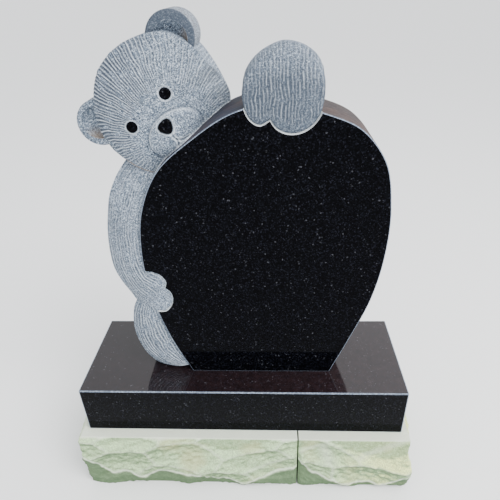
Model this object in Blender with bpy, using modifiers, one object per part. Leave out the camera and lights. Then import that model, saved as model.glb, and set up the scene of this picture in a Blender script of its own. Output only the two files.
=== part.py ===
"""Headstone with a teddy bear carved round the edge of a polished tablet.

Four stones stand on one another: two rock-faced footing blocks side by side, a polished
base, and the headstone, which is one slab of granite. Its front is a rounded polished
tablet, and the rest of the slab is carved as a bear that peeks round it and hugs it.

Units are metres, +Z is up and the front faces -Y. The origin is on the ground under the
middle of the base. Places on the slab are shares of the tablet, in thousandths: across
from its middle in thousandths of its width, and up in thousandths of its height.
"""
import math

import bmesh
import bpy
import numpy as np
from mathutils import Vector, noise

# Footing blocks
FOOTING_HEIGHT = 0.208
FOOTING_FRONT_MARGIN = 0.027
FOOTING_END_MARGIN = 0.018
LEFT_BLOCK_LENGTH = 0.632
BLOCK_JOINT = 0.004
ROCK_BULGE = 0.026
ROCK_CELL = 0.030
ROCK_LEVELS = 6
ROCK_CORNER = 0.020

# Base
BASE_WIDTH = 0.914
BASE_DEPTH = 0.310
BASE_HEIGHT = 0.157
BASE_ARRIS = 0.003

# Tablet
TABLET_WIDTH = 0.602
TABLET_HEIGHT = 0.757
TABLET_OFFSET = 0.065
SLAB_THICKNESS = 0.156
SLAB_SETBACK = 0.0815
TABLET_ARRIS = 0.002
BED_GAP = 0.0003

# Bear
HEAD_RADIUS = 0.152
HEAD_LENGTHENING = 0.008
HEAD_CROWN_SETBACK = 0.021
EAR_RADIUS = 0.051
EAR_SETBACK = 0.046
EAR_BOWL_RADIUS = 0.036
EAR_BOWL_DEPTH = 0.020
EAR_ROUNDING = 0.004
EYE_RADIUS = 0.0115
EYE_SOCKET_RADIUS = 0.0145
EYE_DEPTH = 0.004
NOSE_WIDTH = 0.031
NOSE_PROUD = 0.007
MUZZLE_WIDTH = 0.128
MUZZLE_HEIGHT = 0.094
MUZZLE_PROUD = 0.016
MOUTH_GROOVE = 0.0035
FUR_PITCH = 0.0082
FUR_DEPTH = 0.0030
UPPER_PAW_RECESS = 0.010
LOWER_PAW_RECESS = 0.006
PAW_GROOVE = 0.0012
PAW_CREASE = 0.003
LIMB_CROWN = 0.007
EDGE_ROUNDING = 0.008
# A slight turn keeps a ball's corners off the flat faces that it cuts, and a small lift
# keeps its widest ring clear of them
BALL_TURN = 0.07
BALL_LIFT = 0.0012
# Points that the cuts leave closer than this are one point
WELD_DISTANCE = 0.00001
# How far in front of the slab's back each carved form ends, each on a plane of its own
BACK_INSET = {"Head": 0.004, "Top_ear": 0.0085, "Side_ear": 0.0095, "Arm": 0.0072,
              "Foot": 0.0092, "Upper_paw": 0.0052}

BASE_BOTTOM = FOOTING_HEIGHT + BED_GAP
SLAB_BOTTOM = BASE_BOTTOM + BASE_HEIGHT + BED_GAP
SLAB_FRONT = -BASE_DEPTH / 2 + SLAB_SETBACK
SLAB_BACK = SLAB_FRONT + SLAB_THICKNESS

# The tablet's outline, from its right foot over the top to its left foot
TABLET_OUTLINE = [
    (307, 0), (387, 165), (463, 343), (497, 515), (495, 687), (452, 832), (360, 921),
    (221, 970), (65, 1000), (-91, 976), (-249, 902), (-390, 807), (-472, 676),
    (-500, 528), (-478, 317), (-414, 131), (-346, 0),
]
# The head's outline, from its left cheek over the crown and round below
HEAD_OUTLINE = [
    (-601, 995), (-579, 1066), (-518, 1125), (-417, 1168), (-308, 1177), (-216, 1134),
    (-178, 1093), (-144, 1044), (-117, 988), (-132, 925), (-174, 845), (-257, 793),
    (-357, 774), (-447, 792), (-519, 832), (-570, 876), (-599, 933),
]
HEAD_MIDDLE = (-365, 980)
RIGHT_EYE = (-329, 1025)
LEFT_EYE = (-465, 933)
NOSE = (-336, 937)
MUZZLE_MIDDLE = (-314, 911)
TOP_EAR = (-298, 1164)
SIDE_EAR = (-596, 940)
# The mouth: from the nose's corner to the right, and its branch down to the left
MOUTH = [[(-318, 918), (-303, 899), (-282, 895), (-262, 900)],
         [(-303, 899), (-298, 886), (-300, 874)]]
# The angle of the line through the eyes, which leans with the head
FACE_LEAN = math.radians(40.5)

# Arm, from under the jaw to the wrist: its outer edge, and its inner edge on the tablet
ARM_OUTER = [
    (-500, 850), (-537, 813), (-574, 774), (-603, 728), (-625, 665), (-645, 585),
    (-652, 510), (-646, 440), (-622, 385), (-585, 325),
]
ARM_INNER = [
    (-350, 800), (-392, 790), (-430, 740), (-456, 695), (-476, 640), (-488, 570),
    (-490, 505), (-480, 440), (-452, 380), (-415, 310),
]
# Lower paw, from the wrist's top round its two lobes and back along the wrist
LOWER_PAW = [
    [(-560, 400), (-510, 455), (-472, 454), (-432, 437), (-416, 413), (-424, 388)],
    [(-424, 388), (-405, 374), (-396, 347), (-407, 314), (-434, 290), (-475, 289)],
    [(-475, 289), (-519, 303), (-571, 316), (-600, 350), (-560, 400)],
]
# Foot, from under the wrist to the toe: outer edge, and inner edge on the tablet
FOOT_OUTER = [
    (-545, 330), (-590, 287), (-607, 235), (-611, 164), (-593, 106), (-555, 54),
    (-505, 20), (-450, 8), (-400, 12), (-372, 24),
]
FOOT_INNER = [
    (-455, 330), (-452, 280), (-438, 230), (-425, 185), (-411, 145), (-397, 110),
    (-384, 80), (-375, 58), (-367, 40), (-361, 30),
]
# Upper paw, seen from the front: its scalloped lower edge and its rounded top
UPPER_PAW_LOWER = [
    [(-60, 1010), (-49, 975), (-34, 954), (0, 938), (37, 952)],
    [(37, 952), (60, 928), (96, 914), (130, 913), (179, 930), (210, 960), (225, 1005)],
]
UPPER_PAW_UPPER = [
    (-60, 1034), (-54, 1061), (-38, 1084), (-16, 1104), (12, 1121), (39, 1132), (82, 1143),
    (126, 1140), (180, 1121), (205, 1104), (219, 1087), (226, 1061),
]
# How far up the rock faces' lower ridge runs, along each block's front
LEFT_RIDGE = [(0, .62), (.12, .30), (.26, .22), (.40, .36), (.52, .33), (.64, .18), (.73, .06),
              (.84, .27), (1, .42)]
RIGHT_RIDGE = [(0, .60), (.15, .34), (.34, .16), (.50, .10), (.62, .14), (.78, .10), (1, .24)]


def clear_scene():
    for item in list(bpy.data.objects):
        bpy.data.objects.remove(item, do_unlink=True)


def make_collection(name):
    group = bpy.data.collections.new(name)
    bpy.context.scene.collection.children.link(group)
    return group


def make_material(name, colour, roughness):
    material = bpy.data.materials.new(name)
    material.use_nodes = True
    shader = material.node_tree.nodes["Principled BSDF"]
    shader.inputs["Base Color"].default_value = (*colour, 1.0)
    shader.inputs["Roughness"].default_value = roughness
    shader.inputs["Metallic"].default_value = 0.0
    return material


def place(across, up):
    """Turn thousandths of the tablet into x and z."""
    x = TABLET_OFFSET + across / 1000 * TABLET_WIDTH
    z = SLAB_BOTTOM + up / 1000 * TABLET_HEIGHT
    return x, z


def smooth_run(anchors, count, closed=False):
    """Evenly spaced points on a smooth curve through anchors in thousandths."""
    knots = np.array([place(*anchor) for anchor in anchors])
    if closed:
        knots = np.vstack([knots[-2:], knots, knots[:3]])
    steps = np.linalg.norm(np.diff(knots, axis=0), axis=1)
    at = np.concatenate([[0], np.cumsum(steps)])
    slopes = np.gradient(knots, at, axis=0)
    first, last = (2, len(knots) - 3) if closed else (0, len(knots) - 1)
    fine = []
    for i in range(first, last):
        span = at[i + 1] - at[i]
        for t in np.linspace(0, 1, 24, endpoint=False):
            fine.append((2 * t**3 - 3 * t**2 + 1) * knots[i]
                        + (t**3 - 2 * t**2 + t) * span * slopes[i]
                        + (3 * t**2 - 2 * t**3) * knots[i + 1]
                        + (t**3 - t**2) * span * slopes[i + 1])
    fine.append(knots[last])
    fine = np.array(fine)
    run = np.concatenate([[0], np.cumsum(np.linalg.norm(np.diff(fine, axis=0), axis=1))])
    stops = np.linspace(0, run[-1], count, endpoint=not closed)
    return [(np.interp(s, run, fine[:, 0]), np.interp(s, run, fine[:, 1])) for s in stops]


def joined_runs(runs, count):
    """Points along several smooth curves that meet at corners, as one closed loop."""
    points = []
    for anchors in runs:
        points += smooth_run(anchors, count)[:-1]
    return points


def value_along(anchors, position):
    """Read a smooth value between (position, value) anchors."""
    for (a, low), (b, high) in zip(anchors, anchors[1:]):
        if position <= b:
            t = max(0.0, (position - a) / (b - a))
            return low + (high - low) * t * t * (3 - 2 * t)
    return anchors[-1][1]


def add_object(name, mesh, group, material):
    item = bpy.data.objects.new(name, mesh)
    item.data.materials.append(material)
    group.objects.link(item)
    return item


def hide_tool(item):
    item.hide_render = True
    item.display_type = "WIRE"


def loft(name, loops, group, material):
    """A closed body through a stack of closed loops, with both ends capped."""
    shape = bmesh.new()
    rows = [[shape.verts.new(point) for point in loop] for loop in loops]
    count = len(rows[0])
    for low, high in zip(rows, rows[1:]):
        for i in range(count):
            j = (i + 1) % count
            shape.faces.new((low[i], low[j], high[j], high[i]))
    caps = [shape.faces.new(rows[0][::-1]), shape.faces.new(rows[-1])]
    bmesh.ops.poke(shape, faces=caps)
    bmesh.ops.recalc_face_normals(shape, faces=shape.faces)
    mesh = bpy.data.meshes.new(name)
    shape.to_mesh(mesh)
    shape.free()
    return add_object(name, mesh, group, material)


def upright_slab(name, outline, front, thickness, group, material):
    """A flat outline in x and z, extruded backwards from its front plane."""
    curve = bpy.data.curves.new(name, "CURVE")
    curve.dimensions = "2D"
    curve.fill_mode = "BOTH"
    curve.extrude = thickness / 2
    spline = curve.splines.new("POLY")
    spline.points.add(len(outline) - 1)
    for point, (x, z) in zip(spline.points, outline):
        point.co = (x, z, 0, 1)
    spline.use_cyclic_u = True
    sketch = bpy.data.objects.new(name + "_sketch", curve)
    group.objects.link(sketch)
    sketch.rotation_euler.x = math.pi / 2
    sketch.location.y = front + thickness / 2
    bpy.context.view_layer.update()
    graph = bpy.context.evaluated_depsgraph_get()
    mesh = bpy.data.meshes.new_from_object(sketch.evaluated_get(graph))
    shape = bmesh.new()
    shape.from_mesh(mesh)
    bmesh.ops.remove_doubles(shape, verts=shape.verts, dist=0.00001)
    bmesh.ops.recalc_face_normals(shape, faces=shape.faces)
    shape.to_mesh(mesh)
    shape.free()
    mesh.materials.clear()
    slab = add_object(name, mesh, group, material)
    slab.matrix_world = sketch.matrix_world
    bpy.data.objects.remove(sketch, do_unlink=True)
    return slab


def add_bevel(item, width, segments=1):
    bevel = item.modifiers.new("Arris", "BEVEL")
    bevel.width = width
    bevel.segments = segments
    bevel.limit_method = "ANGLE"
    bevel.angle_limit = math.radians(40)


def add_boolean(item, tool, operation):
    hide_tool(tool)
    change = item.modifiers.new(tool.name, "BOOLEAN")
    change.operation = operation
    change.object = tool
    change.solver = "EXACT"
    change.material_mode = "TRANSFER"


def shade_item(item, angle=35):
    item.data.shade_smooth()
    item.data.set_sharp_from_angle(angle=math.radians(angle))


def head_front(x, z):
    """Where the head's dome lies, front to back, without its muzzle.

    Its rim is high on the left and over the crown, and low at the right, because the head
    is turned: there the dome falls away over most of its radius.
    """
    middle = Vector(place(*HEAD_MIDDLE))
    reach = Vector((x, z)) - middle
    angle = math.degrees(math.atan2(reach.y, reach.x)) % 360
    rim = value_along([(0, .12), (18, .18), (46, .68), (60, .74), (90, .70), (235, .70),
                       (290, .60), (335, .20), (360, .12)], angle) * SLAB_THICKNESS
    away = (1 + math.cos(math.radians(angle + 15))) / 2
    steepness = 0.5 + 0.9 * away**2
    lengthening = HEAD_LENGTHENING * math.cos(2 * math.radians(angle - 75))
    share = min(1.0, reach.length / (HEAD_RADIUS + lengthening))
    crown = SLAB_THICKNESS - HEAD_CROWN_SETBACK
    return SLAB_BACK - rim - (crown - rim) * (1 - share**2.2)**steepness


def face_point(spot, along, upward):
    """A point from a spot on the face, along the eyes' line and up the leaning face."""
    x, z = place(*spot)
    return (x + along * math.cos(FACE_LEAN) - upward * math.sin(FACE_LEAN),
            z + along * math.sin(FACE_LEAN) + upward * math.cos(FACE_LEAN))


def muzzle_share(x, z):
    """How far a point is from the muzzle's middle, where 1 is the muzzle's edge."""
    mx, mz = place(*MUZZLE_MIDDLE)
    along = (x - mx) * math.cos(FACE_LEAN) + (z - mz) * math.sin(FACE_LEAN)
    upward = (z - mz) * math.cos(FACE_LEAN) - (x - mx) * math.sin(FACE_LEAN)
    return math.hypot(along / (MUZZLE_WIDTH / 2), upward / (MUZZLE_HEIGHT / 2))


def face_front(x, z):
    """The head's front with the muzzle's pillow on it."""
    share = min(1.0, muzzle_share(x, z))
    return head_front(x, z) - MUZZLE_PROUD * math.sqrt(1 - share**2.5)


def scaled_ring(rim, focus, share):
    return [(focus[0] + share * (x - focus[0]), focus[1] + share * (z - focus[1]))
            for x, z in rim]


def fur(index, share, start, full):
    """Depth of the carved strokes: every second line is cut in, fading towards the face."""
    fade = min(1.0, max(0.0, (share - start) / (full - start)))
    return FUR_DEPTH * (index % 2) * fade


def make_head(group, material):
    """Rings round the muzzle, which widen from its own outline to the head's."""
    count = 2 * round(math.tau * HEAD_RADIUS / FUR_PITCH / 2)
    rim = smooth_run(HEAD_OUTLINE, count, closed=True)
    focus = place(*MUZZLE_MIDDLE)
    muzzle = []
    for x, z in rim:
        shrink = 1 / muzzle_share(x, z)
        muzzle.append((focus[0] + shrink * (x - focus[0]), focus[1] + shrink * (z - focus[1])))
    loops = []
    for share in (0.3, 0.6, 0.8, 0.93, 1.0):
        loops.append([(x, face_front(x, z), z) for x, z in scaled_ring(muzzle, focus, share)])
    for share in (0.18, 0.34, 0.50, 0.66, 0.80, 0.90, 0.965, 1.0):
        loop = []
        for i, ((mx, mz), (rx, rz)) in enumerate(zip(muzzle, rim)):
            x, z = mx + share * (rx - mx), mz + share * (rz - mz)
            loop.append((x, head_front(x, z) + fur(i, share, 0.25, 0.45), z))
        loops.append(loop)
    middle = place(*HEAD_MIDDLE)
    back = SLAB_BACK - BACK_INSET["Head"]
    for share, y in ((1.0, back - EDGE_ROUNDING), (0.985, back - EDGE_ROUNDING / 4),
                     (0.95, back)):
        loops.append([(x, y, z) for x, z in scaled_ring(rim, middle, share)])
    return loft("Head", loops, group, material)


def make_groove(name, anchors, width, group, material):
    """A six-sided rod along a run on the face, half sunk in it, to cut a line."""
    run = smooth_run(anchors, 7)
    loops = []
    for i, (x, z) in enumerate(run):
        before, after = Vector(run[max(0, i - 1)]), Vector(run[min(6, i + 1)])
        along = (after - before).normalized()
        loop = []
        for k in range(6):
            angle = math.tau * (k + 0.5) / 6
            aside = width / 2 * math.cos(angle)
            loop.append((x - along.y * aside, face_front(x, z) + width / 2 * math.sin(angle),
                         z + along.x * aside))
        loops.append(loop)
    return loft(name, loops, group, material)


def make_ball(name, spot, depth, width, thickness, group, material):
    """A round form flattened front to back, for an eye, its socket or an ear's bowl."""
    shape = bmesh.new()
    bmesh.ops.create_uvsphere(shape, u_segments=16, v_segments=8, radius=0.5)
    bmesh.ops.scale(shape, vec=(width, width, thickness), verts=shape.verts)
    mesh = bpy.data.meshes.new(name)
    shape.to_mesh(mesh)
    shape.free()
    ball = add_object(name, mesh, group, material)
    ball.location = (spot[0], depth, spot[1])
    ball.rotation_euler = (math.pi / 2, BALL_TURN, 0)
    return ball


def make_nose(group, material):
    """A rounded triangle, its corner towards the mouth."""
    x, z = place(*NOSE)
    loops = []
    for share in (0.35, 0.7, 0.9, 1.0):
        loop = []
        for i in range(24):
            angle = math.tau * i / 24
            reach = NOSE_WIDTH / 2 * share * (1 + 0.10 * math.cos(3 * (angle + math.pi / 2)))
            loop.append(face_point(NOSE, reach * math.cos(angle), reach * math.sin(angle)))
        top = face_front(x, z) - NOSE_PROUD * math.sqrt(1 - share**2 * 0.9)
        loops.append([(px, top, pz) for px, pz in loop])
    loops.append([(px, y + 0.030, pz) for px, y, pz in loops[-1]])
    return loft("Nose", loops, group, material)


def make_ear(name, spot, group, material):
    """A thick disc through the slab, its front edge rounded."""
    x, z = place(*spot)
    front = SLAB_FRONT + EAR_SETBACK
    back = SLAB_BACK - BACK_INSET[name]
    loops = []
    for inset, y in ((EAR_ROUNDING, front), (0.3 * EAR_ROUNDING, front + 0.3 * EAR_ROUNDING),
                     (0.0, front + EAR_ROUNDING), (0.0, back - EDGE_ROUNDING),
                     (0.75 * EDGE_ROUNDING, back)):
        radius = EAR_RADIUS - inset
        loops.append([(x + radius * math.cos(math.tau * i / 40), y,
                       z + radius * math.sin(math.tau * i / 40)) for i in range(40)])
    ear = loft(name, loops, group, material)
    bowl = make_ball(name + "_bowl", (x, z), front - 0.002, 2 * EAR_BOWL_RADIUS,
                     2 * EAR_BOWL_DEPTH, group, material)
    add_boolean(ear, bowl, "DIFFERENCE")
    return ear


def limb_loops(outer, inner, depth_inner, depth_outer, lines, tail):
    """Sections along a limb: a domed front with lengthwise strokes, and a flat back."""
    stations = len(outer)
    loops = []
    for k in range(stations):
        share = k / (stations - 1)
        (ox, oz), (ix, iz) = outer[k], inner[k]
        near, far = depth_inner(share), depth_outer(share)
        loop = []
        for i in range(lines + 1):
            t = i / lines
            crest = 4 * t * (1 - t)
            sink = near + (far - near) * t**2.2 - LIMB_CROWN * crest
            stroke = FUR_DEPTH * 0.8 * (i % 2) * min(1.0, 3 * share + 0.2)
            loop.append((ix + (ox - ix) * t, SLAB_FRONT + sink + stroke, iz + (oz - iz) * t))
        loop.append((ox, tail, oz))
        loop.append((ix, tail, iz))
        loops.append(loop)
    return loops


def make_arm(group, material):
    outer = smooth_run(ARM_OUTER, 22)
    inner = smooth_run(ARM_INNER, 22)

    def inner_depth(share):
        return value_along([(0, .060), (.10, .052), (.24, .026), (.38, .010), (1, .009)], share)

    def outer_depth(share):
        return value_along([(0, .080), (.12, .062), (.35, .036), (1, .030)], share)
    tail = SLAB_BACK - BACK_INSET["Arm"]
    return loft("Arm", limb_loops(outer, inner, inner_depth, outer_depth, 14, tail),
                group, material)


def make_foot(group, material):
    outer = smooth_run(FOOT_OUTER, 16)
    inner = smooth_run(FOOT_INNER, 16)

    def inner_depth(share):
        return value_along([(0, .020), (.2, .012), (1, .010)], share)

    def outer_depth(share):
        return value_along([(0, .040), (.3, .034), (.8, .016), (1, .011)], share)
    tail = SLAB_BACK - BACK_INSET["Foot"]
    return loft("Foot", limb_loops(outer, inner, inner_depth, outer_depth, 14, tail),
                group, material)


def grow(outline, distance):
    """Move each point of a loop outwards, along the mean of its sides' normals."""
    count = len(outline)
    area = sum(outline[i - 1][0] * outline[i][1] - outline[i][0] * outline[i - 1][1]
               for i in range(count))
    turn = math.copysign(1, area)
    grown = []
    for i in range(count):
        before, after = Vector(outline[i - 1]), Vector(outline[(i + 1) % count])
        along = (after - before).normalized() * turn
        grown.append((outline[i][0] + along.y * distance, outline[i][1] - along.x * distance))
    return grown


def make_lower_paw(group, material):
    """A low dome with two lobes that lies in a recess of the tablet's face."""
    rim = joined_runs(LOWER_PAW, 13)
    focus = place(-480, 365)
    notch = Vector(place(-424, 388))
    loops = []
    for share in (0.2, 0.45, 0.65, 0.82, 0.93, 1.0):
        loop = []
        for x, z in scaled_ring(rim, focus, share):
            dome = (LOWER_PAW_RECESS + 0.001) * (1 - math.sqrt(1 - share**3.5 * 0.99))
            crease = PAW_CREASE * math.exp(-((Vector((x, z)) - notch).length / 0.012)**2)
            outward = max(0.0, (place(-500, 0)[0] - x) / 0.080)
            loop.append((x, SLAB_FRONT + 0.0006 + dome + crease + 0.024 * outward**1.6, z))
        loops.append(loop)
    loops.append([(x, y + 0.030, z) for x, y, z in loops[-1]])
    return loft("Lower_paw", loops, group, material)


def make_upper_paw(group, material):
    """Sections across the paw, each running up the front, over the top and down behind."""
    lower = smooth_run(UPPER_PAW_LOWER[0], 30)[:-1] + smooth_run(UPPER_PAW_LOWER[1], 50)
    upper = smooth_run(UPPER_PAW_UPPER, 80)
    left, right = upper[0][0], upper[-1][0]
    columns = 2 * round((right - left) / FUR_PITCH / 2)
    back = SLAB_BACK - BACK_INSET["Upper_paw"]
    loops = []
    for i in range(columns + 1):
        edge = 2 * i / columns - 1
        x = left + (right - left) * (0.5 + 0.5 * math.sin(edge * math.pi / 2))
        low = np.interp(x, [p[0] for p in lower], [p[1] for p in lower])
        high = np.interp(x, [p[0] for p in upper], [p[1] for p in upper])
        side = 0.020 * (1 - math.sqrt(1 - 0.98 * abs(edge)**5))
        stroke = FUR_DEPTH * 0.8 * (i % 2) * (abs(edge) < 0.97)
        tall = high - low
        profile = [(UPPER_PAW_RECESS - 0.0005, low), (0.006, low + 0.03 * tall),
                   (0.003, low + 0.10 * tall), (0.001 + stroke, low + 0.22 * tall),
                   (0.001 + stroke, low + 0.45 * tall), (0.003 + stroke, low + 0.62 * tall),
                   (0.009 + stroke, low + 0.77 * tall), (0.019 + stroke, low + 0.88 * tall),
                   (0.034 + stroke, low + 0.96 * tall), (0.055 + stroke, high)]
        loop = [(x, SLAB_FRONT + side + sink, z) for sink, z in profile]
        fall = min(0.04, 0.5 * tall)
        loop += [(x, back - 0.030, high - 0.1 * fall),
                 (x, back - EDGE_ROUNDING - side * 0.5, high - 0.5 * fall),
                 (x, back - side * 0.5, high - fall), (x, back - side * 0.5, low + 0.1 * tall),
                 (x, SLAB_FRONT + 0.040 + side, low + 0.05 * tall)]
        loops.append(loop)
    return loft("Upper_paw", loops, group, material)


def make_headstone(group, tools, polished, carved):
    """The tablet, recessed for the paws and joined with every carved form."""
    outline = smooth_run(TABLET_OUTLINE, 66)
    stone = upright_slab("Headstone", outline, SLAB_FRONT, SLAB_THICKNESS, group, polished)
    add_bevel(stone, TABLET_ARRIS)
    paws = {
        "Lower_recess": (joined_runs(LOWER_PAW, 13), LOWER_PAW_RECESS),
        "Upper_recess": (upper_paw_outline(), UPPER_PAW_RECESS),
    }
    for name, (rim, recess) in paws.items():
        cutter = upright_slab(name, grow(rim, PAW_GROOVE), SLAB_FRONT - 0.02, 0.02 + recess,
                              tools, carved)
        add_boolean(stone, cutter, "DIFFERENCE")
    for form in (make_head(tools, carved), make_ear("Top_ear", TOP_EAR, tools, carved),
                 make_ear("Side_ear", SIDE_EAR, tools, carved),
                 make_arm(tools, carved), make_foot(tools, carved),
                 make_lower_paw(tools, carved), make_upper_paw(tools, carved),
                 make_nose(tools, polished)):
        add_boolean(stone, form, "UNION")
    for name, anchors in zip(("Lip_groove", "Chin_groove"), MOUTH):
        add_boolean(stone, make_groove(name, anchors, MOUTH_GROOVE, tools, carved), "DIFFERENCE")
    for side, spot in (("Right", RIGHT_EYE), ("Left", LEFT_EYE)):
        depth = face_front(*place(*spot))
        socket = make_ball(side + "_eye_socket", place(*spot), depth - BALL_LIFT,
                           2 * EYE_SOCKET_RADIUS, 2 * EYE_DEPTH, tools, carved)
        add_boolean(stone, socket, "DIFFERENCE")
        eye = make_ball(side + "_eye", place(*spot), depth + EYE_DEPTH / 2 - BALL_LIFT,
                        2 * EYE_RADIUS, 3 * EYE_DEPTH, tools, polished)
        add_boolean(stone, eye, "UNION")
    weld = stone.modifiers.new("Close_points", "WELD")
    weld.merge_threshold = WELD_DISTANCE
    return stone


def upper_paw_outline():
    """The upper paw's front outline, down past the tablet's top on both sides."""
    lower = smooth_run(UPPER_PAW_LOWER[0], 16)[:-1] + smooth_run(UPPER_PAW_LOWER[1], 28)
    return lower + smooth_run(UPPER_PAW_UPPER, 24)[::-1]


def make_base(group, material):
    shape = bmesh.new()
    bmesh.ops.create_cube(shape, size=1.0)
    bmesh.ops.scale(shape, vec=(BASE_WIDTH, BASE_DEPTH, BASE_HEIGHT), verts=shape.verts)
    mesh = bpy.data.meshes.new("Base")
    shape.to_mesh(mesh)
    shape.free()
    base = add_object("Base", mesh, group, material)
    base.location.z = BASE_BOTTOM + BASE_HEIGHT / 2
    add_bevel(base, BASE_ARRIS, 2)
    return base


def rock_swell(along, up, seed, ridge):
    """How far a split face stands out: it swells down to a scalloped ridge, then tucks in."""
    crest = value_along(ridge, along)
    if up >= crest:
        body = 1 - ((up - crest) / (1 - crest))**1.6
    else:
        body = 0.25 + 0.75 * (up / crest)**0.8
    chips = noise.noise(Vector((along * 9 + seed, up * 3, seed)))
    return ROCK_BULGE * (0.78 * body + 0.45 * chips * min(1, 5 * (1 - up)))


def make_block(name, left, right, joint_side, ridge, seed, group, material):
    """A sawn block whose front, back and outer end are split rock."""
    half_depth = BASE_DEPTH / 2 + FOOTING_FRONT_MARGIN
    shape = bmesh.new()
    bmesh.ops.create_cube(shape, size=1.0)
    bmesh.ops.scale(shape, vec=(right - left, 2 * half_depth, FOOTING_HEIGHT), verts=shape.verts)
    bmesh.ops.translate(shape, vec=((left + right) / 2, 0, FOOTING_HEIGHT / 2),
                        verts=shape.verts)
    cuts = []
    for axis, low, size, step in ((0, left, right - left, ROCK_CELL),
                                  (1, -half_depth, 2 * half_depth, ROCK_CELL * 1.2),
                                  (2, 0, FOOTING_HEIGHT, FOOTING_HEIGHT / ROCK_LEVELS)):
        pieces = round(size / step)
        cuts += [(axis, low + size * i / pieces) for i in range(1, pieces)]
    for axis, value in cuts:
        point, normal = Vector(), Vector()
        point[axis], normal[axis] = value, 1
        whole = shape.verts[:] + shape.edges[:] + shape.faces[:]
        bmesh.ops.bisect_plane(shape, geom=whole, plane_co=point, plane_no=normal)
    outer = left if joint_side > 0 else right
    for vertex in shape.verts:
        x, y, z = vertex.co
        up = z / FOOTING_HEIGHT
        along = (x - left) / (right - left)
        if abs(abs(y) - half_depth) < 1e-6:
            hold = min(1, abs(x - left - right + outer) / ROCK_CORNER)
            swell = (rock_swell(along, up, seed, ridge) if y < 0
                     else rock_swell(1 - along, up, seed + 7, ridge))
            vertex.co.y += math.copysign(swell * (0.3 + 0.7 * hold) * (up < 0.999), y)
        if abs(x - outer) < 1e-6:
            side = (y + half_depth) / (2 * half_depth)
            swell = rock_swell(side, up, seed + 3, [(0, ridge[0][1]), (.5, .35), (1, .5)])
            vertex.co.x -= joint_side * swell * (up < 0.999)
    inner = left + right - outer
    for level in ((2, 0), (2, FOOTING_HEIGHT), (0, inner)):
        sawn = [face for face in shape.faces
                if all(abs(vertex.co[level[0]] - level[1]) < 1e-6 for vertex in face.verts)]
        bmesh.ops.dissolve_faces(shape, faces=sawn)
    bmesh.ops.recalc_face_normals(shape, faces=shape.faces)
    mesh = bpy.data.meshes.new(name)
    shape.to_mesh(mesh)
    shape.free()
    return add_object(name, mesh, group, material)


def make_footing(group, material):
    left = -BASE_WIDTH / 2 - FOOTING_END_MARGIN
    right = BASE_WIDTH / 2 + FOOTING_END_MARGIN
    joint = left + LEFT_BLOCK_LENGTH
    make_block("Footing_block_left", left, joint, 1, LEFT_RIDGE, 2.0, group, material)
    make_block("Footing_block_right", joint + BLOCK_JOINT, right, -1, RIGHT_RIDGE, 5.0,
               group, material)


def main():
    clear_scene()
    group = make_collection("Bear_headstone")
    tools = make_collection("Carving_tools")
    polished = make_material("Polished_black_granite", (0.012, 0.012, 0.014), 0.08)
    carved = make_material("Carved_granite", (0.33, 0.37, 0.41), 0.8)
    base_stone = make_material("Base_granite", (0.012, 0.012, 0.014), 0.08)
    sandstone = make_material("Split_sandstone", (0.72, 0.72, 0.58), 0.9)
    stone = make_headstone(group, tools, polished, carved)
    shade_item(stone)
    make_base(group, base_stone)
    make_footing(group, sandstone)


main()
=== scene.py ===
"""Looks of the bear headstone: polished tablet, carved bear, polished base, split footing.

The carved forms are fine grids bent to the solids' own curves. Places on the slab are
shares of the tablet, in thousandths: across from its middle, and up from its foot.
"""
import math

import bmesh
import bpy
import numpy as np
from mathutils import Matrix, Vector


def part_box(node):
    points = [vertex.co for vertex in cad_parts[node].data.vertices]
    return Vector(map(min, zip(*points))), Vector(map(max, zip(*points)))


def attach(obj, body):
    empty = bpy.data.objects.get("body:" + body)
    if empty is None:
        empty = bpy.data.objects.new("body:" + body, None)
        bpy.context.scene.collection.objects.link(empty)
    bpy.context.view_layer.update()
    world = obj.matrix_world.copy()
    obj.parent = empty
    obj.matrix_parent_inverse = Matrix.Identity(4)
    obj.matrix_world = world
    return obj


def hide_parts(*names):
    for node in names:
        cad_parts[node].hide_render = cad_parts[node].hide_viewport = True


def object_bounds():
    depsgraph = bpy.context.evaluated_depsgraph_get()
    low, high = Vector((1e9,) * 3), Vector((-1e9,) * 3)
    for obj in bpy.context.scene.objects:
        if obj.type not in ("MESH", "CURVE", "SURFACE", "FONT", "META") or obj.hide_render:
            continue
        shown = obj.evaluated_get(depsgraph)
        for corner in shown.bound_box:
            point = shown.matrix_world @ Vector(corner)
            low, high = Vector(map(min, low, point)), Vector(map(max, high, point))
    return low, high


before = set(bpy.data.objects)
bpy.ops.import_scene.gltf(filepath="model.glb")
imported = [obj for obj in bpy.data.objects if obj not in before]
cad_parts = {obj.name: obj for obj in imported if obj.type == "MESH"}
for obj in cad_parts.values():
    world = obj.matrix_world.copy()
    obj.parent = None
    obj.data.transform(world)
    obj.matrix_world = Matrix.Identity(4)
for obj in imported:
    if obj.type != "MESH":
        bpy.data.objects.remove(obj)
cad_low, cad_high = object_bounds()

# Sizes of the solids, in metres
TABLET_WIDTH = 0.602
TABLET_HEIGHT = 0.757
TABLET_OFFSET = 0.065   # the tablet's middle lies this far to the right of the base's
TABLET_ARRIS = 0.002
BASE_ARRIS = 0.003
HEAD_RADIUS = 0.152
HEAD_MEAN_RADIUS = 0.15
HEAD_LENGTHENING = 0.008
HEAD_CROWN_SETBACK = 0.021
EAR_RADIUS = 0.051
EAR_SETBACK = 0.046
EAR_BOWL_RADIUS = 0.036
EAR_BOWL_DEPTH = 0.020
EAR_ROUNDING = 0.004
EDGE_ROUNDING = 0.008
EYE_RADIUS = 0.0125
EYE_SOCKET_RADIUS = 0.0150
EYE_PROUD = 0.0035
NOSE_WIDTH = 0.031
NOSE_PROUD = 0.007
MUZZLE_WIDTH = 0.128
MUZZLE_HEIGHT = 0.094
MUZZLE_PROUD = 0.016
UPPER_PAW_RECESS = 0.010
LOWER_PAW_RECESS = 0.006
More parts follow.
